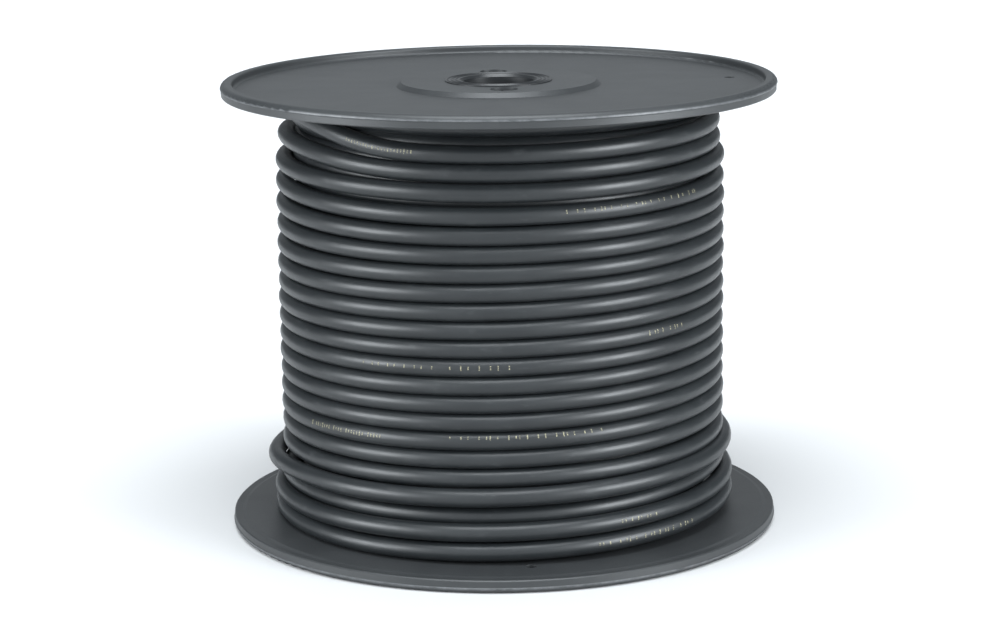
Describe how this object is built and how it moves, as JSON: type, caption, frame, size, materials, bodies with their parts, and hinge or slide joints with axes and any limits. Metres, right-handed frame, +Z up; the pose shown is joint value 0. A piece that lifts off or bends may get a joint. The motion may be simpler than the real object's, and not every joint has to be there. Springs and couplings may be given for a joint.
{
  "type": "wire spool",
  "caption": "Moulded plastic cable reel standing on its flange, wound full of round black flexible cord, with a bushed arbor hole and through-bolted hub.",
  "frame": {"origin": "centre of the lower flange's rim, on the surface the reel stands on", "axes": "+Z up along the arbor axis, -Y the front, where the tie hole of the lower flange is, +X to the right"},
  "size_m": [0.2666, 0.2666, 0.2168],
  "materials": {
    "reel_plastic": "satin moulded black",
    "bush_plastic": "turned, satin black",
    "black_steel": "black oxide",
    "zinc_steel": "zinc plated",
    "cable_jacket": "satin extruded",
    "fibre_filler": "dry fibre",
    "core_black": "glossy",
    "core_white": "glossy",
    "core_green": "glossy",
    "copper_strands": "bright cut copper",
    "tie_nylon": "black nylon"
  },
  "bodies": {
    "root": {"lower_flange": "reel_plastic", "upper_flange": "reel_plastic", "barrel_tube": "reel_plastic", "arbor_tube": "reel_plastic", "lower_arbor_bush": "bush_plastic", "upper_arbor_bush": "bush_plastic", "tie_bolts": "black_steel", "tie_nuts": "black_steel", "head_washers": "zinc_steel", "nut_washers": "zinc_steel", "cable_inner_layers": "cable_jacket", "cable_outer_layers": "cable_jacket", "cable_end_jacket": "cable_jacket", "cable_end_filler": "fibre_filler", "cable_end_core_black": "core_black", "cable_end_core_white": "core_white", "cable_end_core_green": "core_green", "cable_end_conductors": "copper_strands", "cable_end_tie": "tie_nylon"}
  },
  "joints": []
}
